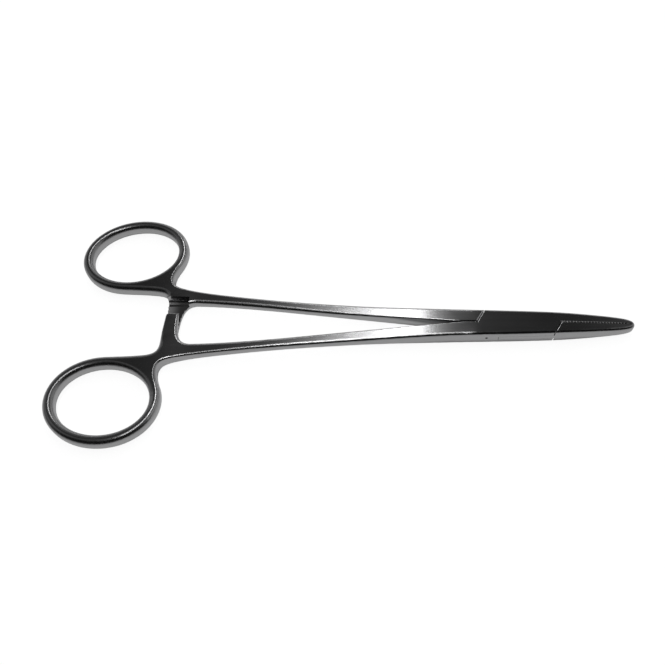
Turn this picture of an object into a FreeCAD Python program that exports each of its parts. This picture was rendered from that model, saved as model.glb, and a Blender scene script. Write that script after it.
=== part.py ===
import FreeCAD, Part
import math
import os
import Sketcher

# Needle holder with a box lock: two forged halves and the pin that joins them.
# Millimetres. +X runs from the finger rings to the jaw tip, +Z is up, and the origin is on the
# pivot axis, on the plane that the underside of the box lies on.

SIZES = {
    # Finger rings
    "handle_length": 112.7,
    "ring_spread": 24.64,
    "finger_hole_length": 26.33,
    "finger_hole_width": 20.5,
    "ring_band": 3.05,
    "ring_height": 4.0,
    "ring_tilt": 5.24,
    "ring_rounding": 1.4,
    "ring_rounding_end": 8.5,
    # Web between ring, shank and ratchet arm, with reaches forward of the ring centre
    "web_back_angle": 260.4,
    "web_back_ease": 0.47,
    "web_back_reach": 12.3,
    "web_back_spread": 10.7,
    "web_front_reach": 13.2,
    "web_front_spread": 13.6,
    "web_front_angle": -28.1,
    "web_front_ease": 0.22,
    # Ratchet arm and its rack
    "arm_back": 13.05,
    "arm_root_spread": 5.0,
    "arm_lean": 0.35,
    "arm_width": 3.55,
    "arm_front_reach": 17.1,
    "arm_front_spread": 4.3,
    "arm_overlap": 3.0,
    "arm_corner": 1.1,
    "arm_rounding": 0.45,
    "recess_spread": 8.7,
    "recess_back": 11.0,
    "recess_front": 19.3,
    "recess_step": 1.4,
    "rack_start": 6.3,
    "rack_tooth_pitch": 1.3,
    "rack_tooth_height": 0.5,
    "rack_tooth_rake": 0.15,
    "rack_gap": 0.1,
    # Shank: control points of its outer and inner edge
    "root_reach": 18.0,
    "root_spread": 11.57,
    "outer_rear_reach": 26.0,
    "outer_rear_spread": 9.65,
    "outer_fore_reach": 46.0,
    "outer_fore_spread": 7.73,
    "outer_middle": 52.7,
    "outer_middle_spread": 6.59,
    "neck": 25.7,
    "neck_spread": 4.59,
    "inner_root_reach": 22.0,
    "inner_root_spread": 6.82,
    "inner_rear_reach": 36.0,
    "inner_rear_spread": 6.14,
    "inner_middle": 52.7,
    "inner_middle_spread": 3.01,
    "inner_fore": 28.7,
    "inner_fore_spread": 1.25,
    "crotch": 14.7,
    "crotch_rounding": 0.25,
    "shank_rounding": 0.85,
    # Box and jaws, with reaches from the pivot
    "box_rear": 12.7,
    "box_half_width": 4.2,
    "jaw_waist": 9.3,
    "jaw_waist_half_width": 3.8,
    "jaw_fore": 23.3,
    "jaw_fore_half_width": 2.5,
    "tip_reach": 31.08,
    "tip_half_width": 1.6,
    "box_rounding": 0.88,
    "tip_rounding": 0.75,
    # Thickness along the side view
    "box_thickness": 4.8,
    "box_flat_rear": 10.2,
    "box_flat_fore": 8.8,
    "root_thickness": 2.84,
    "shank_thickness": 2.64,
    "neck_thickness": 3.34,
    "jaw_thickness": 4.0,
    "tip_thickness": 2.7,
    # Where the side view changes, forward of the ring centre
    "ring_flat_end": 8.0,
    "ring_ease_end": 13.0,
    "root_flat_start": 20.0,
    "root_flat_end": 30.0,
    "shank_flat_start": 46.0,
    "shank_flat_end": 62.0,
    # The same, behind and in front of the flat of the box
    "neck_behind_flat": 24.5,
    "box_ease_behind": 10.5,
    "box_ease_before": 5.5,
    "jaw_before_flat": 12.5,
    # Box lock
    "shoulder_reach": 11.2,
    "shoulder_side_reach": 8.9,
    "slot_side_reach": 5.7,
    "lock_side": 4.0,
    "tongue_thickness": 1.3,
    "tongue_clearance": 0.05,
    "tongue_edge_clearance": 0.2,
    "shoulder_gap": 0.25,
    "shoulder_bevel": 0.25,
    "crotch_gap": 0.35,
    "crotch_gap_length": 8.0,
    "pin_diameter": 3.2,
    "pin_running_clearance": 0.04,
    # Jaw faces
    "jaw_gap": 0.06,
    "jaw_bevel": 0.18,
    "serration_start": 12.6,
    "serration_pitch": 0.8,
    "serration_width": 0.5,
    "serration_depth": 0.25,
    # Blind locating dimple in the side of the box
    "dimple_reach": 8.8,
    "dimple_wall": 4.09,
    "dimple_height": 2.6,
    "dimple_diameter": 0.7,
    "dimple_depth": 0.8,
    # How far a cutter reaches past what it cuts
    "margin": 1.0,
}
RACK_TEETH = 7
JAW_SERRATIONS = 21

# How far a curve's control point lies along its neighbour's line, which keeps the joint smooth
REAR_EASE = 0.77
JAW_EASE = 0.38
SHANK_EASE = 0.93
ROOT_EASE = 0.29
WEB_EASE = 0.375
ARM_EASE = 0.5
NEAR = 0.01
BEVEL_ANGLE = 45

doc = FreeCAD.newDocument("needle_holder")
sheet = doc.addObject("Spreadsheet::Sheet", "sizes")
for row, (alias, number) in enumerate(SIZES.items(), 1):
    sheet.set(f"A{row}", alias)
    sheet.set(f"B{row}", str(number))
    sheet.setAlias(f"B{row}", alias)
doc.recompute()


class Size:
    """A number with the expression that binds it to the sheet."""

    def __init__(self, value, text):
        self.value = value
        self.text = text

    def __add__(self, other):
        other = as_size(other)
        return Size(self.value + other.value, f"({self.text} + {other.text})")

    def __sub__(self, other):
        other = as_size(other)
        return Size(self.value - other.value, f"({self.text} - {other.text})")

    def __mul__(self, other):
        other = as_size(other)
        return Size(self.value * other.value, f"({self.text} * {other.text})")

    def __truediv__(self, other):
        other = as_size(other)
        return Size(self.value / other.value, f"({self.text} / {other.text})")

    def __neg__(self):
        return Size(-self.value, f"(0 - {self.text})")


def cosine(degrees):
    return Size(math.cos(math.radians(degrees.value)), f"cos({degrees.text} * 1 deg)")


def sine(degrees):
    return Size(math.sin(math.radians(degrees.value)), f"sin({degrees.text} * 1 deg)")


def as_size(value):
    if isinstance(value, Size):
        return value
    return Size(float(value), repr(float(value)))


def size(alias):
    return Size(float(sheet.get(alias)), f"sizes.{alias}")


def from_ring(alias):
    """X of a point whose distance forward of the ring centre is in the sheet."""
    return size(alias) - size("handle_length")


def bind(feature, name, value):
    feature.setExpression(name, as_size(value).text)


middle = size("box_thickness") / 2
margin = size("margin")


# Sketches

PLAN = FreeCAD.Rotation()
SIDE_VIEW = FreeCAD.Rotation(FreeCAD.Vector(1, 0, 0), 90)
END_VIEW = FreeCAD.Rotation(FreeCAD.Vector(1, 1, 1), 120)


def new_sketch(name, rotation, base=None):
    """An empty sketch; base gives the coordinates of its origin that aren't zero."""
    sketch = doc.addObject("Sketcher::SketchObject", name)
    sketch.Placement = FreeCAD.Placement(FreeCAD.Vector(), rotation)
    for axis, value in (base or {}).items():
        bind(sketch, f"Placement.Base.{axis}", value)
    return sketch


def dimension(sketch, kind, geometry, value):
    number = sketch.addConstraint(Sketcher.Constraint(kind, *geometry, value.value))
    sketch.setExpression(f"Constraints[{number}]", value.text)


def place_point(sketch, geometry, position, point):
    for kind, coordinate in zip(("DistanceX", "DistanceY"), point):
        dimension(sketch, kind, (-1, 1, geometry, position), as_size(coordinate))


def vector(point):
    return FreeCAD.Vector(as_size(point[0]).value, as_size(point[1]).value, 0)


def add_segment(sketch, points):
    """A straight line through two points, or a smooth curve with the points as its control points."""
    vectors = [vector(point) for point in points]
    if len(vectors) == 2:
        return sketch.addGeometry(Part.LineSegment(*vectors))
    degree = min(3, len(vectors) - 1)
    spans = len(vectors) - degree
    curve = Part.BSplineCurve()
    ends = [degree + 1]
    curve.buildFromPolesMultsKnots(
        vectors, ends + [1] * (spans - 1) + ends, list(range(spans + 1)), False, degree
    )
    index = sketch.addGeometry(curve)
    first_pole = sketch.GeometryCount
    sketch.exposeInternalGeometry(index)
    for offset, point in enumerate(points[1:-1], 1):
        place_point(sketch, first_pole + offset, 3, point)
    return index


def draw_chain(sketch, segments):
    """Joined segments; each starts where the one before it ends."""
    indices = []
    for points in segments:
        index = add_segment(sketch, points)
        place_point(sketch, index, 1, points[0])
        if indices:
            sketch.addConstraint(Sketcher.Constraint("Coincident", indices[-1], 2, index, 1))
        indices.append(index)
    place_point(sketch, indices[-1], 2, segments[-1][-1])


def draw_polygon(sketch, points):
    draw_chain(sketch, [list(pair) for pair in zip(points, points[1:] + points[:1])])


# Solids

def extrude(name, sketch, forward, backward=0.0):
    solid = doc.addObject("Part::Extrusion", name)
    solid.Base = sketch
    solid.DirMode = "Normal"
    solid.Solid = True
    bind(solid, "LengthFwd", forward)
    bind(solid, "LengthRev", backward)
    return solid


def cut(name, base, tool):
    result = doc.addObject("Part::Cut", name)
    result.Base = base
    result.Tool = tool
    return result


def cut_all(name, base, tools):
    for number, tool in enumerate(tools, 1):
        base = cut(f"{name}_{number}", base, tool)
    return base


def turned_over(name, source):
    """The same cutter for the other half: half a turn about the long axis at mid height."""
    copy = doc.addObject("Part::Compound", name)
    copy.Links = [source]
    copy.Placement = FreeCAD.Placement(
        FreeCAD.Vector(), FreeCAD.Rotation(FreeCAD.Vector(1, 0, 0), 180)
    )
    bind(copy, "Placement.Base.z", middle * 2)
    return copy


def ends_of(edge):
    return [edge.valueAt(edge.FirstParameter), edge.valueAt(edge.LastParameter)]


# Outline of one half, in plan, with its own finger ring on +Y

ring_x = -size("handle_length")
ring_y = size("ring_spread")
major = size("finger_hole_length") / 2
minor = size("finger_hole_width") / 2
band = size("ring_band")
tilt = size("ring_tilt")


def on_ring(angle, offset):
    """A point of the oval at an offset outside the finger hole, and the direction of the oval there."""
    long_half = major + offset
    short_half = minor + offset
    along = long_half * cosine(angle)
    across = short_half * sine(angle)
    point = (
        ring_x + along * cosine(tilt) - across * sine(tilt),
        ring_y + along * sine(tilt) + across * cosine(tilt),
    )
    along = -(long_half * sine(angle))
    across = short_half * cosine(angle)
    direction = (
        along * cosine(tilt) - across * sine(tilt),
        along * sine(tilt) + across * cosine(tilt),
    )
    return point, direction


def add_oval(sketch, offset, ends=None):
    """The whole oval, or the arc of it between two angles, counted from its long axis."""
    lengthwise = on_ring(as_size(0), offset)[0]
    crosswise = on_ring(as_size(90), offset)[0]
    centre = (ring_x, ring_y)
    oval = Part.Ellipse(vector(lengthwise), vector(crosswise), vector(centre))
    if ends:
        first, last = [math.radians(angle.value) for angle in ends]
        oval = Part.ArcOfEllipse(oval, first, last)
    index = sketch.addGeometry(oval)
    long_axis = sketch.GeometryCount
    sketch.exposeInternalGeometry(index)
    place_point(sketch, index, 3, centre)
    dimension(sketch, "Distance", (long_axis,), (major + offset) * 2)
    dimension(sketch, "Distance", (long_axis + 1,), (minor + offset) * 2)
    number = sketch.addConstraint(Sketcher.Constraint("Angle", long_axis, math.radians(tilt.value)))
    sketch.setExpression(f"Constraints[{number}]", f"{tilt.text} * 1 deg")
    if ends:
        dimension(sketch, "DistanceY", (-1, 1, index, 1), on_ring(ends[0], offset)[0][1])
        dimension(sketch, "DistanceX", (-1, 1, index, 2), on_ring(ends[1], offset)[0][0])
    return index


def between(first, last, share):
    """The point at a share of the way from the first point to the last."""
    return tuple(a + (b - a) * share for a, b in zip(first, last))


def beyond(before, joint, share):
    """A control point that carries a curve straight on through a joint."""
    return between(joint, before, -as_size(share))


def mirrored(points):
    return [(x, -y) for x, y in points]


def blade_edge():
    """The edge of box and jaw, from the rear of the box to the middle of the tip."""
    neck = (-size("neck"), size("neck_spread"))
    rear = (-size("box_rear"), size("box_half_width"))
    waist = (size("jaw_waist"), size("jaw_waist_half_width"))
    fore = (size("jaw_fore"), size("jaw_fore_half_width"))
    corner = (size("tip_reach"), size("tip_half_width"))
    tip = (size("tip_reach"), as_size(0))
    return [
        [rear, beyond(neck, rear, REAR_EASE), waist, fore],
        [fore, beyond(waist, fore, JAW_EASE), corner, tip],
    ]


def outer_edge():
    """The outer edge of the shank, from the rear of the box back to its root."""
    rear = (-size("box_rear"), size("box_half_width"))
    neck = (-size("neck"), size("neck_spread"))
    middle_point = (-size("outer_middle"), size("outer_middle_spread"))
    fore = (from_ring("outer_fore_reach"), size("outer_fore_spread"))
    back = (from_ring("outer_rear_reach"), size("outer_rear_spread"))
    root = (from_ring("root_reach"), size("root_spread"))
    return [
        [rear, neck, beyond(fore, middle_point, SHANK_EASE), middle_point],
        [middle_point, fore, back, root],
    ]


def inner_edge():
    """From the end of the ratchet arm round into the inner edge of the shank, to the crotch."""
    arm_end = -size("arm_overlap")
    arm_tip_front = (from_ring("arm_back") + size("arm_lean") + size("arm_width"), arm_end)
    arm_front = (from_ring("arm_front_reach"), size("arm_front_spread"))
    root = (from_ring("inner_root_reach"), size("inner_root_spread"))
    rear = (from_ring("inner_rear_reach"), size("inner_rear_spread"))
    middle_point = (-size("inner_middle"), size("inner_middle_spread"))
    fore = (-size("inner_fore"), size("inner_fore_spread"))
    crotch = (-size("crotch"), as_size(0))
    return [
        [arm_tip_front, arm_front, beyond(rear, root, ROOT_EASE), root],
        [root, rear, middle_point, fore, crotch],
    ]


def arm_edge():
    """The back of the ratchet arm, its rounded corner and its end."""
    arm_root = (from_ring("arm_back"), size("arm_root_spread"))
    arm_end = -size("arm_overlap")
    arm_tip_back = (arm_root[0] + size("arm_lean"), arm_end)
    arm_tip_front = (arm_tip_back[0] + size("arm_width"), arm_end)
    corner = size("arm_corner")
    corner_start = between(arm_tip_back, arm_root, corner / (size("arm_overlap") + size("arm_root_spread")))
    corner_end = (arm_tip_back[0] + corner, arm_end)
    return [[arm_root, corner_start], [corner_start, arm_tip_back, corner_end], [corner_end, arm_tip_front]]


def half_outline():
    sketch = new_sketch("half_outline", PLAN)
    front_angle = size("web_front_angle")
    back_angle = size("web_back_angle")
    add_oval(sketch, band, (front_angle, back_angle))
    front, front_way = on_ring(front_angle, band)
    back, back_way = on_ring(back_angle, band)
    front_ease = size("web_front_ease")
    back_ease = size("web_back_ease")
    arm = arm_edge()
    web_back = [
        back,
        (back[0] + back_way[0] * back_ease, back[1] + back_way[1] * back_ease),
        (from_ring("web_back_reach"), size("web_back_spread")),
        beyond(arm[0][1], arm[0][0], ARM_EASE),
        arm[0][0],
    ]
    outer = outer_edge()
    web_front = [
        outer[1][-1],
        beyond(outer[1][-2], outer[1][-1], WEB_EASE),
        (from_ring("web_front_reach"), size("web_front_spread")),
        (front[0] - front_way[0] * front_ease, front[1] - front_way[1] * front_ease),
        front,
    ]
    inner = inner_edge()
    blade = blade_edge()
    crotch = inner[1][-1]
    rear_middle = (-size("box_rear"), as_size(0))
    far_side = [mirrored(points) for points in blade]
    near_side = [points[::-1] for points in blade[::-1]]
    segments = [web_back] + arm + inner
    segments += [[crotch, rear_middle], [rear_middle, far_side[0][0]]] + far_side + near_side
    segments += outer + [web_front]
    draw_chain(sketch, segments)
    return sketch


# Blank: the outline raised to full height, thinned to the side view and rounded along its edges

def jaw_top():
    """The control points of the line along the top of the jaws, above mid height."""
    box = size("box_thickness") / 2
    box_fore = size("box_flat_fore")
    return [
        (box_fore, box),
        (box_fore + size("box_ease_before"), box),
        (box_fore + size("jaw_before_flat"), size("jaw_thickness") / 2),
        (size("tip_reach") + margin * 2, size("tip_thickness") / 2),
    ]


def side_view():
    """The thickness along the instrument, about mid height."""
    ring = size("ring_height") / 2
    box = size("box_thickness") / 2
    root = size("root_thickness") / 2
    shank = size("shank_thickness") / 2
    back = ring_x - major - band * 4
    ring_end = from_ring("ring_flat_end")
    box_rear = -size("box_flat_rear")
    top = [
        [(back, ring), (ring_end, ring)],
        [
            (ring_end, ring),
            (from_ring("ring_ease_end"), ring),
            (from_ring("root_flat_start"), root),
            (from_ring("root_flat_end"), root),
            (from_ring("shank_flat_start"), shank),
            (from_ring("shank_flat_end"), shank),
            (box_rear - size("neck_behind_flat"), size("neck_thickness") / 2),
            (box_rear - size("box_ease_behind"), box),
            (box_rear, box),
        ],
        [(box_rear, box), (size("box_flat_fore"), box)],
        jaw_top(),
    ]
    bottom = [mirrored(points[::-1]) for points in top[::-1]]
    sketch = new_sketch("side_view", SIDE_VIEW, {"z": middle})
    draw_chain(
        sketch,
        top + [[top[-1][-1], bottom[0][0]]] + bottom + [[bottom[-1][-1], top[0][0]]],
    )
    return sketch


finger_hole = new_sketch("finger_hole", PLAN)
add_oval(finger_hole, as_size(0))
blank_plan = extrude("blank_plan", half_outline(), size("box_thickness"))
hole_cutter = extrude("hole_cutter", finger_hole, size("box_thickness"))
pierced_plan = cut("pierced_plan", blank_plan, hole_cutter)
side_slab = extrude("side_slab", side_view(), size("box_half_width") * 2, ring_y * 2)
rough_blank = doc.addObject("Part::MultiCommon", "rough_blank")
rough_blank.Shapes = [pierced_plan, side_slab]
doc.recompute()


def edge_rounding(point):
    """The radius of the rounded edge at a corner of the rough blank."""
    reach = point.x - ring_x.value
    ring_end = size("ring_rounding_end").value
    if point.y > size("recess_spread").value + ring_end or reach < ring_end:
        return size("ring_rounding").value
    if reach < size("recess_front").value and point.y < size("rack_start").value:
        return size("arm_rounding").value
    if abs(point.y) < NEAR and point.x < 0:
        return size("crotch_rounding").value
    stations = [
        (ring_x.value + ring_end, "ring_rounding"),
        (ring_x.value + size("inner_root_reach").value, "shank_rounding"),
        (-size("outer_middle").value, "shank_rounding"),
        (-size("box_rear").value, "box_rounding"),
        (size("jaw_fore").value, "box_rounding"),
        (size("tip_reach").value, "tip_rounding"),
    ]
    for (start, before), (end, after) in zip(stations, stations[1:]):
        if point.x <= end:
            share = (point.x - start) / (end - start)
            return size(before).value * (1 - share) + size(after).value * share
    return size("tip_rounding").value


def is_rounded(edge):
    """Upright edges stay sharp, as do the lines across the faces and what the box lock cuts away."""
    first, last = ends_of(edge)
    crosswise = abs(first.x - last.x) < NEAR
    crotch = -size("crotch").value - NEAR
    box_rear = -size("box_rear").value + NEAR
    in_crotch = crotch < first.x < box_rear and crotch < last.x < box_rear
    return not crosswise and not in_crotch


blank = doc.addObject("Part::Fillet", "blank")
blank.Base = rough_blank
rounded = []
for number, edge in enumerate(rough_blank.Shape.Edges, 1):
    if is_rounded(edge):
        first, last = [edge_rounding(point) for point in ends_of(edge)]
        rounded.append((number, first, last))
blank.Edges = rounded
doc.recompute()


# Box lock: each line runs from the middle to the side of the box, and on past it

def lock_line(reach, side_reach, shift, start_y):
    """The start of a line at mid width and a point well outside the box, for the +Y rear quarter."""
    lean = reach - side_reach
    return (
        (-reach - shift, as_size(start_y)),
        (-reach - shift + lean * 2, size("lock_side") * 2),
    )


def opposite(points):
    """The same points half a turn round the pivot."""
    return [(-x, -y) for x, y in points]


far = size("tip_reach") + margin * 2
behind = -size("crotch") - margin * 2
outside = size("lock_side") * 2
half_jaw_gap = size("jaw_gap") / 2
shoulder = size("shoulder_reach")
shoulder_line = lock_line(shoulder, size("shoulder_side_reach"), 0, 0)
gap_line = lock_line(shoulder, size("shoulder_side_reach"), size("shoulder_gap"), 0)
tongue_edge = mirrored(lock_line(shoulder, size("slot_side_reach"), 0, -size("crotch_gap")))
slot_edge = mirrored(
    lock_line(shoulder, size("slot_side_reach"), size("tongue_edge_clearance"), -size("crotch_gap"))
)


def prism(name, points, low=None, high=None):
    """A cutter over the whole height, or between two heights."""
    sketch = new_sketch(f"{name}_plan", PLAN, {"z": low} if low else None)
    draw_polygon(sketch, points)
    if low:
        return extrude(name, sketch, high - low)
    return extrude(name, sketch, size("box_thickness") + margin, margin)


# What the box half leaves free behind its far cheek and in front of its near cheek
behind_cheek = prism("behind_cheek", [(behind, as_size(0)), *shoulder_line, (behind, outside)])
front_start, front_side = opposite(shoulder_line)
before_cheek = prism(
    "before_cheek",
    [front_side, (front_start[0], half_jaw_gap), (far, half_jaw_gap), (far, -outside)],
)
half_slot = size("tongue_thickness") / 2 + size("tongue_clearance")
slot_front = opposite(slot_edge)
slot = prism(
    "slot",
    [
        slot_edge[0],
        slot_edge[1],
        (slot_front[0][0], -outside),
        (slot_front[0][0], as_size(0)),
        slot_front[1],
        (slot_edge[0][0], outside),
    ],
    middle - half_slot,
    middle + half_slot,
)

# What the tongue half leaves free for the near shank, the far jaw and both cheeks
inner_gap_end = -size("crotch") - size("crotch_gap_length")
near_shank_room = prism(
    "near_shank_room",
    [(inner_gap_end, size("crotch_gap")), *tongue_edge, (inner_gap_end, -outside)],
)
tongue_front = opposite(tongue_edge)
far_jaw_room = prism(
    "far_jaw_room",
    [(far, -half_jaw_gap), (tongue_front[0][0], -half_jaw_gap), tongue_front[1], (far, outside)],
)
half_tongue = size("tongue_thickness") / 2
front_gap = opposite(gap_line)
cheek_room_outline = [
    gap_line[1],
    gap_line[0],
    (gap_line[0][0], -outside),
    front_gap[1],
    front_gap[0],
    (front_gap[0][0], outside),
]
above = size("box_thickness") + margin
upper_cheek_room = prism("upper_cheek_room", cheek_room_outline, middle + half_tongue, above)
lower_cheek_room = prism("lower_cheek_room", cheek_room_outline, -margin, middle - half_tongue)


# Light bevels along the gaps between the halves, cut into both of them, above and below

def turned_down(name, source):
    """The same cutter on the underside."""
    copy = doc.addObject("Part::Mirroring", name)
    copy.Source = source
    copy.Normal = FreeCAD.Vector(0, 0, 1)
    bind(copy, "Base.z", middle)
    return copy


def gap_bevel(name, line, other_line):
    """A cutter that widens upwards from the gap between two lines across the box."""
    sketch = new_sketch(f"{name}_plan", PLAN, {"z": size("box_thickness") - size("shoulder_bevel")})
    draw_polygon(sketch, [line[0], line[1], other_line[1], other_line[0]])
    solid = extrude(name, sketch, size("shoulder_bevel") * 2)
    solid.TaperAngle = BEVEL_ANGLE
    return solid


def seam_bevel():
    """A cutter that follows the top of the jaws and widens upwards from the gap between their faces."""
    path = new_sketch("seam_path", SIDE_VIEW, {"z": middle})
    draw_chain(path, [jaw_top()])
    bevel = size("jaw_bevel")
    section = new_sketch("seam_section", END_VIEW, {"x": size("box_flat_fore"), "z": middle * 2})
    wide = half_jaw_gap + bevel * 2
    draw_polygon(
        section, [(-half_jaw_gap, -bevel), (half_jaw_gap, -bevel), (wide, bevel), (-wide, bevel)]
    )
    swept = doc.addObject("Part::Sweep", "seam_bar")
    swept.Sections = [section]
    swept.Spine = path
    swept.Solid = True
    before_box = prism(
        "before_box",
        [(shoulder, -outside), (far, -outside), (far, outside), (shoulder, outside)],
    )
    bevel_bar = doc.addObject("Part::MultiCommon", "seam_bevel")
    bevel_bar.Shapes = [swept, before_box]
    return bevel_bar


upper_bevels = doc.addObject("Part::MultiFuse", "upper_bevels")
upper_bevels.Shapes = [
    gap_bevel("rear_gap_bevel", shoulder_line, gap_line),
    gap_bevel("front_gap_bevel", opposite(shoulder_line), front_gap),
    seam_bevel(),
]
lower_bevels = turned_down("lower_bevels", upper_bevels)


# Ratchet: the rack on the far arm faces up, the one on the near arm faces down

def rack_profile():
    """The cut above the far arm, seen from its end: a step down from the web, then the teeth."""
    crest = -size("rack_gap") / 2
    floor = crest - size("rack_tooth_height")
    top = size("box_thickness")
    step_top = (size("recess_spread"), top / 4)
    step_foot = (size("recess_spread") - size("recess_step"), floor)
    end = -size("arm_overlap") - margin
    points = []
    for tooth in range(RACK_TEETH):
        peak = size("rack_start") - size("rack_tooth_pitch") * tooth
        points.append((peak + size("rack_tooth_rake"), floor))
        points.append((peak, crest))
    points.append((points[-2][0] - size("rack_tooth_pitch"), floor))
    sketch = new_sketch("rack_profile", END_VIEW, {"x": from_ring("recess_back"), "z": middle})
    corners = [step_foot, *points, (end, floor), (end, top), (size("recess_spread"), top), step_top]
    segments = [list(pair) for pair in zip(corners, corners[1:])]
    segments.append([step_top, (step_top[0], floor), step_foot])
    draw_chain(sketch, segments)
    return sketch


rack_cutter = extrude("rack_cutter", rack_profile(), size("recess_front") - size("recess_back"))
rack_cutter_below = turned_over("rack_cutter_below", rack_cutter)

# Jaw faces: upright grooves across the face of each jaw, the same on both

def serration_comb():
    """The cut into the near jaw's face: a notch for each serration."""
    face = -half_jaw_gap
    bottom = face - size("serration_depth")
    half_width = size("serration_width") / 2
    before = size("serration_start") - size("serration_pitch")
    points = [(before, as_size(0)), (before, face)]
    for notch in range(JAW_SERRATIONS):
        centre = size("serration_start") + size("serration_pitch") * notch
        points += [(centre - half_width, face), (centre, bottom), (centre + half_width, face)]
    after = points[-1][0] + margin
    points += [(after, face), (after, as_size(0))]
    return prism("serration_comb", points)


comb = serration_comb()
comb_turned = turned_over("comb_turned", comb)

# Pivot pin, its holes and the dimple

def cylinder(name, diameter, height):
    solid = doc.addObject("Part::Cylinder", name)
    bind(solid, "Radius", diameter / 2)
    bind(solid, "Height", height)
    return solid


pin_hole = cylinder("pin_hole", size("pin_diameter"), size("box_thickness"))
tongue_hole = cylinder(
    "tongue_hole", size("pin_diameter") + size("pin_running_clearance") * 2, size("box_thickness")
)
dimple = cylinder("dimple", size("dimple_diameter"), size("dimple_depth") + margin)
dimple.Placement = FreeCAD.Placement(
    FreeCAD.Vector(), FreeCAD.Rotation(FreeCAD.Vector(1, 0, 0), 90)
)
bind(dimple, "Placement.Base.x", -size("dimple_reach"))
bind(dimple, "Placement.Base.y", size("dimple_depth") - size("dimple_wall"))
bind(dimple, "Placement.Base.z", size("dimple_height"))

# The three pieces

near_blank = doc.addObject("Part::Mirroring", "near_blank")
near_blank.Source = blank
near_blank.Normal = FreeCAD.Vector(0, 1, 0)

box_half = cut_all(
    "box_half",
    near_blank,
    [
        behind_cheek,
        before_cheek,
        rack_cutter_below,
        slot,
        pin_hole,
        dimple,
        upper_bevels,
        lower_bevels,
        comb_turned,
    ],
)
tongue_half = cut_all(
    "tongue_half",
    blank,
    [
        near_shank_room,
        far_jaw_room,
        rack_cutter,
        upper_cheek_room,
        lower_cheek_room,
        tongue_hole,
        upper_bevels,
        lower_bevels,
        comb,
    ],
)
pivot_pin = cylinder("pivot_pin", size("pin_diameter"), size("box_thickness"))
doc.recompute()

# Every feature has to stand before anything is written

NODES = {"box_half": box_half, "tongue_half": tongue_half, "pivot_pin": pivot_pin}
for feature in doc.Objects:
    if {"Invalid", "Error"} & set(feature.State):
        raise RuntimeError(f"{feature.Name} failed")
os.makedirs("parts", exist_ok=True)
for label, feature in NODES.items():
    feature.Label = label
    shape = feature.Shape
    if shape.isNull() or not shape.isValid() or len(shape.Solids) != 1:
        raise RuntimeError(f"{label} isn't one valid solid")
    shape.exportStep(f"parts/{label}.step")
    print(label, round(shape.Volume, 2))
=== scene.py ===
import math

import bmesh
import bpy
from mathutils import Matrix, Vector


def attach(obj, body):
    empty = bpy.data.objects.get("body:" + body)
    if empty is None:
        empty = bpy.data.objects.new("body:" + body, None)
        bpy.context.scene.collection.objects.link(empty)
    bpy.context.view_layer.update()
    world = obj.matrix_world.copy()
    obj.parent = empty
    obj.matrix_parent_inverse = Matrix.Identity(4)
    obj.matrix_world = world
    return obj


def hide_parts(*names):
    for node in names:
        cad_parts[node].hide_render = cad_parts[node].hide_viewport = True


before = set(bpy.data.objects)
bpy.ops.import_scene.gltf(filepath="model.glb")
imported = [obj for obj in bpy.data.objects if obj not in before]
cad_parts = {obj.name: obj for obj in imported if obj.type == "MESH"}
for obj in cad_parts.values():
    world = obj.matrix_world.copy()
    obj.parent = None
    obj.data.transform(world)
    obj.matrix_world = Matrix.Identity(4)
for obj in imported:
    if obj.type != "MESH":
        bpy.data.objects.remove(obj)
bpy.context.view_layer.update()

MM = 0.001
WHITE = (1.0, 1.0, 1.0, 1.0)


def added(name, data):
    """A new object of that data in the scene."""
    thing = bpy.data.objects.new(name, data)
    bpy.context.scene.collection.objects.link(thing)
    return thing


# Shader sockets as Python values

class Wire:
    """A shader output that adds Math nodes when it is used in an expression."""

    def __init__(self, tree, socket):
        self.tree = tree
        self.socket = socket

    def node(self, kind, inputs=None, output=0, **settings):
        """Adds a node of a kind, sets its settings first, and then its sockets."""
        made = self.tree.nodes.new(kind)
        for name, value in settings.items():
            setattr(made, name, value)
        for key, value in (inputs or {}).items():
            if isinstance(value, Wire):
                self.tree.links.new(value.socket, made.inputs[key])
            else:
                made.inputs[key].default_value = value
        return Wire(self.tree, made.outputs[output])

    def math(self, operation, first, second):
        return self.node("ShaderNodeMath", {0: first, 1: second}, operation=operation)

    def __add__(self, other):
        return self.math("ADD", self, other)

    __radd__ = __add__

    def __mul__(self, other):
        return self.math("MULTIPLY", self, other)

    __rmul__ = __mul__

    def __sub__(self, other):
        return self.math("SUBTRACT", self, other)

    def __rsub__(self, other):
        return self.math("SUBTRACT", other, self)

    def rises(self, start, end):
        """0 before start, 1 past end, and a soft step between them."""
        span = {"Value": self, 1: start, 2: end}
        return self.node("ShaderNodeMapRange", span, interpolation_type="SMOOTHSTEP")


def new_material(name):
    """A material with nothing but its output, and a wire to start from."""
    material = bpy.data.materials.new(name)
    material.use_nodes = True
    tree = material.node_tree
    tree.nodes.clear()
    output = tree.nodes.new("ShaderNodeOutputMaterial")
    return material, Wire(tree, None), output


# Steel finishes, with lit and shaded copies of the steel that paint highlight and shade

PIVOT_TO_RING = 112.7 * MM
RING_FRONT = -PIVOT_TO_RING + 14.0 * MM
RACK_BACK = -PIVOT_TO_RING + 11.0 * MM
RACK_FRONT = -PIVOT_TO_RING + 19.3 * MM
RACK_HALF_WIDTH = 8.7 * MM
RACK_FLOOR = 1.7 * MM
# Where painted shade darkens the rack's steel, towards the rack's front
PAINTED_SHADE_START = RACK_BACK + 1.0 * MM
PAINTED_SHADE_END = RACK_BACK + 6.0 * MM

# How fast the marks of a finish change along each axis, per metre
LENGTHWISE = (25.0, 3000.0, 3000.0)
EVEN = (500.0, 500.0, 500.0)
ACROSS_RACK = (3600.0, 120.0, 3600.0)
SERRATED = (1500.0, 300.0, 300.0)
SMUDGED = (150.0, 150.0, 150.0)
HAIRLINE_RATE = 0.35

NOISE_MEAN = 0.5
COOL = 1.01


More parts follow.
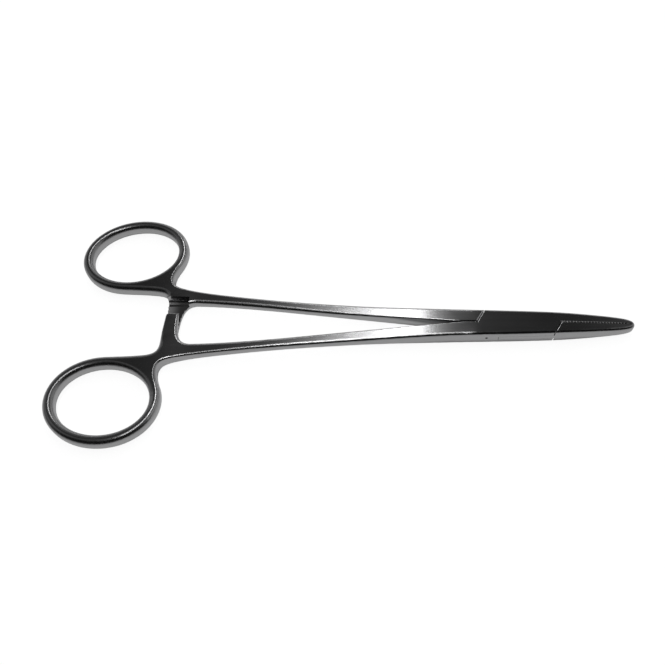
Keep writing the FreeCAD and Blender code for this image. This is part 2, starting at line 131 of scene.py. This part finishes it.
def steel(name, tone, gloss, grain, grain_depth=0.0, wave_depth=0.0, rack_painted_shade=0.0):
    """Bare steel of a grey tone. gloss is its roughness, and grain one of the rates above.

    The depths are in mm. The last argument paints shade: it darkens the steel towards the front end of
    the rack.
    """
    material, wire, output = new_material(name)
    place = wire.node("ShaderNodeTexCoord", output="Object")
    along = wire.node("ShaderNodeSeparateXYZ", {0: place})

    def marks(rate, detail):
        stretched = wire.node("ShaderNodeMapping", {"Vector": place, "Scale": rate})
        noise = {"Vector": stretched, "Scale": 1.0, "Detail": detail}
        return wire.node("ShaderNodeTexNoise", noise) - NOISE_MEAN

    fine = marks(grain, 3.0)
    hairlines = marks([rate * HAIRLINE_RATE for rate in grain], 2.0)
    smudge = marks(SMUDGED, 3.0)
    # painted shade: darker towards the front end of the rack
    painted_rack_darkening = 1.0 - along.rises(PAINTED_SHADE_START, PAINTED_SHADE_END) * rack_painted_shade
    tone_marks_and_painted_shade = (smudge * 0.06 + fine * 0.05 + 1.0) * painted_rack_darkening
    grey = wire.node("ShaderNodeCombineColor", {0: tone_marks_and_painted_shade, 1: tone_marks_and_painted_shade, 2: tone_marks_and_painted_shade})
    own_color = (tone, tone, tone * COOL, 1.0)
    color = wire.node(
        "ShaderNodeMix",
        {"Factor": 1.0, 6: own_color, 7: grey},
        output=2,
        data_type="RGBA",
        blend_type="MULTIPLY",
    )
    rough = fine * 0.012 + hairlines * 0.015 + smudge * 0.015 + gloss
    height = fine * (grain_depth * 0.6) + hairlines * (grain_depth * 0.4) + smudge * wave_depth
    bump = wire.node("ShaderNodeBump", {"Strength": 1.0, "Distance": MM, "Height": height})
    shader = wire.node(
        "ShaderNodeBsdfPrincipled",
        {"Base Color": color, "Metallic": 1.0, "Roughness": rough, "Normal": bump},
    )
    wire.tree.links.new(shader.socket, output.inputs["Surface"])
    return material


satin_steel = steel(
    "satin steel", tone=0.56, gloss=0.155, grain=LENGTHWISE, grain_depth=0.0002, wave_depth=0.008
)
buffed_steel = steel("buffed steel", tone=0.56, gloss=0.16, grain=EVEN)
ring_steel = steel("rubbed ring steel", tone=0.56, gloss=0.25, grain=EVEN)
# A lit copy of the steel, far lighter than its own tone: painted light on the rack teeth, with painted
# shade towards the rack's front
milled_painted_light_steel = steel(
    "milled rack steel with painted light and shade", tone=0.95, gloss=0.46, grain=ACROSS_RACK, grain_depth=0.004, rack_painted_shade=0.85
)
# Lit copies of the steel, far lighter than its own tone: painted highlight on bevels and rolled edges
bevel_painted_highlight_steel = steel("bevel steel with painted highlight", tone=0.95, gloss=0.50, grain=LENGTHWISE)
edge_painted_highlight_steel = steel("edge steel with painted highlight", tone=0.92, gloss=0.24, grain=LENGTHWISE)
# A dark copy of the steel: painted shade in the front groove
groove_painted_shade_steel = steel("groove steel with painted shade", tone=0.10, gloss=0.30, grain=LENGTHWISE)
# A lit copy, far lighter than the steel's own tone: painted highlight on the jaw seam, over its real
# serration marks
serrated_painted_highlight_steel = steel("serrated seam steel with painted highlight", tone=0.95, gloss=0.40, grain=SERRATED, grain_depth=0.15)
FINISHES = [
    satin_steel, buffed_steel, ring_steel, milled_painted_light_steel,
    bevel_painted_highlight_steel, edge_painted_highlight_steel, groove_painted_shade_steel, serrated_painted_highlight_steel,
]
SATIN, BUFFED, RING, MILLED_PAINTED_LIGHT, BEVEL_PAINTED_HIGHLIGHT, EDGE_PAINTED_HIGHLIGHT, GROOVE_PAINTED_SHADE, SEAM_PAINTED_HIGHLIGHT = range(8)
BEVELLED = {BEVEL_PAINTED_HIGHLIGHT, EDGE_PAINTED_HIGHLIGHT, GROOVE_PAINTED_SHADE, SEAM_PAINTED_HIGHLIGHT}


# The two halves and the pin

MERGED_WITHIN = 0.0004 * MM
DEGENERATE_BELOW = 0.0002 * MM

# Places, from the pin along x and y, and from mid height
MID_HEIGHT = 2.4 * MM
BOX_HALF_LENGTH = 12.0 * MM
BOX_HALF_WIDTH = 3.3 * MM
SEAM_HALF_WIDTH = 0.35 * MM
SEAM_HEIGHT = 0.6 * MM

# Leans, which are the upright share of a face's normal, and its share along the length
LEVEL = math.cos(math.radians(4.0))
ROLLED_EDGE = 0.80
BEVEL_LEAN_MIN = 0.55
BEVEL_LEAN_MAX = 0.85
TOOTH_LEAN_MIN = 0.2
TOOTH_LENGTHWISE_MAX = 0.02
GROOVE_LENGTHWISE_MIN = 0.3

# Angles between two faces
SHARP = math.radians(32.0)
SOFT_BEVEL = math.radians(50.0)


def finish_of(face):
    """Which finish a face of either half takes, by where it is and how it leans."""
    spot = face.calc_center_median()
    lean = abs(face.normal.z)
    lengthwise = abs(face.normal.x)
    height = abs(spot.z - MID_HEIGHT)
    in_rack = RACK_BACK < spot.x < RACK_FRONT and abs(spot.y) < RACK_HALF_WIDTH and height < RACK_FLOOR
    if in_rack and TOOTH_LEAN_MIN < lean < LEVEL and lengthwise < TOOTH_LENGTHWISE_MAX:
        # rack teeth take the lit copy, with painted light and shade
        return MILLED_PAINTED_LIGHT
    if BEVEL_LEAN_MIN < lean < BEVEL_LEAN_MAX:
        if spot.x > 0.0 and abs(spot.y) < SEAM_HALF_WIDTH and height > SEAM_HEIGHT:
            # the jaw seam's bevels take the lit copy: painted highlight
            return SEAM_PAINTED_HIGHLIGHT
        in_box = abs(spot.x) < BOX_HALF_LENGTH and abs(spot.y) < BOX_HALF_WIDTH
        if in_box and height > RACK_FLOOR and lengthwise > GROOVE_LENGTHWISE_MIN:
            # box groove bevels facing backwards, and the rear groove's others, take lit copies: painted
            # highlight
            if face.normal.x < 0.0:
                return EDGE_PAINTED_HIGHLIGHT
            # the front groove's forward-facing bevels take the dark copy: painted shade
            return BEVEL_PAINTED_HIGHLIGHT if spot.x < 0.0 else GROOVE_PAINTED_SHADE
    if lean > LEVEL:
        return SATIN
    if spot.x < RING_FRONT:
        return RING
    # rolled shank edges take a lit copy: painted highlight
    return EDGE_PAINTED_HIGHLIGHT if lean > ROLLED_EDGE and spot.x < -BOX_HALF_LENGTH else BUFFED


def is_sharp(edge):
    """Real corners stay crisp; a bevel is shaded as rolling over from the level face beside it."""
    turn = edge.calc_face_angle(math.pi)
    kinds = {face.material_index for face in edge.link_faces}
    rolls_over = SATIN in kinds and kinds & BEVELLED and turn < SOFT_BEVEL
    return turn >= SHARP and not rolls_over


def shading_normals(shape):
    """A normal for each face's corner: the level face's own where one meets it, else a mean by angle."""
    normals = {}
    for vert in shape.verts:
        waiting = list(vert.link_loops)
        while waiting:
            fan = [waiting.pop()]
            for loop in fan:
                for edge in (loop.edge, loop.link_loop_prev.edge):
                    for other in list(waiting):
                        if edge.smooth and edge in (other.edge, other.link_loop_prev.edge):
                            waiting.remove(other)
                            fan.append(other)
            level = [loop for loop in fan if abs(loop.face.normal.z) > LEVEL]
            mean = Vector((0.0, 0.0, 0.0))
            for loop in level or fan:
                mean += loop.face.normal * loop.calc_angle()
            for loop in fan:
                normals[loop.index] = mean.normalized()
    return [normals[index] for index in range(len(normals))]


def dressed(node, finishes, body):
    """A merged copy of a node, smooth across its curved faces, with a finish for each kind of face."""
    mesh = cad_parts[node].data.copy()
    mesh.name = node + "_surface"
    mesh.materials.clear()
    for finish in finishes:
        mesh.materials.append(finish)
    shape = bmesh.new()
    shape.from_mesh(mesh)
    bmesh.ops.remove_doubles(shape, verts=shape.verts, dist=MERGED_WITHIN)
    bmesh.ops.dissolve_degenerate(shape, edges=shape.edges, dist=DEGENERATE_BELOW)
    for face in shape.faces:
        face.smooth = True
        face.material_index = finish_of(face) if len(finishes) > 1 else 0
    for edge in shape.edges:
        edge.smooth = not is_sharp(edge)
    shape.faces.index_update()
    loop_count = 0
    for face in shape.faces:
        for loop in face.loops:
            loop.index = loop_count
            loop_count += 1
    normals = shading_normals(shape)
    shape.to_mesh(mesh)
    shape.free()
    mesh.normals_split_custom_set(normals)
    piece = added(node + "_surface", mesh)
    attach(piece, body)
    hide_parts(node)


dressed("box_half", FINISHES, "box")
dressed("tongue_half", FINISHES, "tongue")
dressed("pivot_pin", [satin_steel], "box")


# Camera at the photograph's viewing angle

PHOTO_PIXELS = 665.0
FOCAL_PIXELS = 700.0
SENSOR_MM = 36.0
CAMERA_SPOT = (-0.03598, -0.10597, 0.16835)
CAMERA_TURN = math.radians(8.38)
CAMERA_TILT = math.radians(32.253)
CAMERA_ROLL = math.radians(-6.854)

camera_data = bpy.data.cameras.new("camera")
camera_data.sensor_width = SENSOR_MM
camera_data.lens = SENSOR_MM * FOCAL_PIXELS / PHOTO_PIXELS
camera_data.clip_start = 0.005
camera_data.clip_end = 10.0
camera = added("camera", camera_data)
turned = Matrix.Rotation(CAMERA_TURN, 4, "Z")
tilted = Matrix.Rotation(CAMERA_TILT, 4, "X")
rolled = Matrix.Rotation(CAMERA_ROLL, 4, "Z")
camera.matrix_world = Matrix.Translation(CAMERA_SPOT) @ turned @ tilted @ rolled
bpy.context.scene.camera = camera


# White ground

GROUND_HALF_SIZE = 3.0
GROUND_HEIGHT = -0.02 * MM
GROUND_COLOR = (0.8, 0.8, 0.8, 1.0)
SEEN_GLOW = 0.885
MIRRORED_GLOW = 0.38
GRAZING_PAINTED_SHADE = 0.20
PAINTED_SHADE_REACH = 1.2 * MM
DARKEST_PAINTED_SHADE = 0.15


def white_ground():
    """Plain white with a soft shadow. Its glow is less in the steel, where painted shade dims it towards
    grazing views and darkens it most close under the steel.
    """
    material, wire, output = new_material("white ground")
    seen = wire.node("ShaderNodeLightPath", output="Is Camera Ray")
    mirrored = wire.node("ShaderNodeLightPath", output="Is Glossy Ray")
    diffuse = wire.node("ShaderNodeBsdfDiffuse", {"Color": GROUND_COLOR})
    # painted shade: the glow the steel sees is dimmer towards grazing views
    grazing = wire.node("ShaderNodeLayerWeight", {"Blend": 0.35}, output="Facing")
    reach = {"Distance": PAINTED_SHADE_REACH}
    clear = wire.node("ShaderNodeAmbientOcclusion", reach, output="AO", samples=8)
    # painted shade: the glow the steel sees is darkest close under the steel
    painted_contact_shade = clear * clear * clear * (1.0 - DARKEST_PAINTED_SHADE) + DARKEST_PAINTED_SHADE
    strength = seen * SEEN_GLOW + mirrored * (MIRRORED_GLOW - grazing * GRAZING_PAINTED_SHADE) * painted_contact_shade
    glow = wire.node("ShaderNodeEmission", {"Color": WHITE, "Strength": strength})
    both = wire.node("ShaderNodeAddShader", {0: diffuse, 1: glow})
    wire.tree.links.new(both.socket, output.inputs["Surface"])
    material.cycles.emission_sampling = "NONE"
    return material


ground_shape = bmesh.new()
bmesh.ops.create_grid(ground_shape, x_segments=1, y_segments=1, size=GROUND_HALF_SIZE)
bmesh.ops.translate(ground_shape, verts=ground_shape.verts, vec=(0.0, 0.0, GROUND_HEIGHT))
ground_mesh = bpy.data.meshes.new("ground")
ground_shape.to_mesh(ground_mesh)
ground_shape.free()
ground_mesh.materials.append(white_ground())
ground = added("ground", ground_mesh)


# Studio light: one long soft strip overhead, in a dim room that is lighter low down and at its sides

STRIP_WIDTH = 0.11
STRIP_LENGTH = 3.6
STRIP_WATTS = 9.0
STRIP_SPOT = (-0.15, 1.02, 2.5)

strip_data = bpy.data.lights.new("overhead strip", "AREA")
strip_data.shape = "RECTANGLE"
strip_data.size = STRIP_WIDTH
strip_data.size_y = STRIP_LENGTH
strip_data.energy = STRIP_WATTS
strip = added("overhead strip", strip_data)
strip.location = STRIP_SPOT

HORIZON_GLOW = 0.06
FAR_HORIZON_GLOW = 0.18
RIGHT_GLOW = 0.19
LEFT_GLOW = 0.10
BACK_GLOW = 0.26
CEILING_GLOW = 0.014
ROOM_GLOW = 0.006


def dim_room():
    """The world: each part of it lights up by a soft step over a view direction's x, y or z."""
    world = bpy.data.worlds.new("dim room")
    world.use_nodes = True
    tree = world.node_tree
    tree.nodes.clear()
    output = tree.nodes.new("ShaderNodeOutputWorld")
    wire = Wire(tree, None)
    way = wire.node("ShaderNodeTexCoord", output="Generated")
    across = wire.node("ShaderNodeSeparateXYZ", {0: way}, output=0)
    back = wire.node("ShaderNodeSeparateXYZ", {0: way}, output=1)
    height = wire.node("ShaderNodeSeparateXYZ", {0: way}, output=2)
    low = (1.0 - height).rises(0.70, 1.0)
    horizon = low * (back.rises(-1.0, -0.6) * FAR_HORIZON_GLOW + HORIZON_GLOW)
    right = across.rises(0.33, 0.60) * back.rises(-0.45, -0.05) * RIGHT_GLOW
    left = (0.0 - across).rises(0.40, 0.60) * back.rises(-0.25, 0.20) * LEFT_GLOW
    behind = back.rises(0.70, 0.95) * BACK_GLOW
    ceiling = back.rises(-0.30, 0.30) * CEILING_GLOW
    lit = horizon + right + left + behind + ceiling + ROOM_GLOW
    seen = wire.node("ShaderNodeLightPath", output="Is Camera Ray")
    strength = lit * (1.0 - seen) + seen
    sky = wire.node("ShaderNodeBackground", {"Color": WHITE, "Strength": strength})
    tree.links.new(sky.socket, output.inputs["Surface"])
    world.cycles.sampling_method = "NONE"
    return world


bpy.context.scene.world = dim_room()
bpy.context.scene.view_settings.view_transform = "Standard"
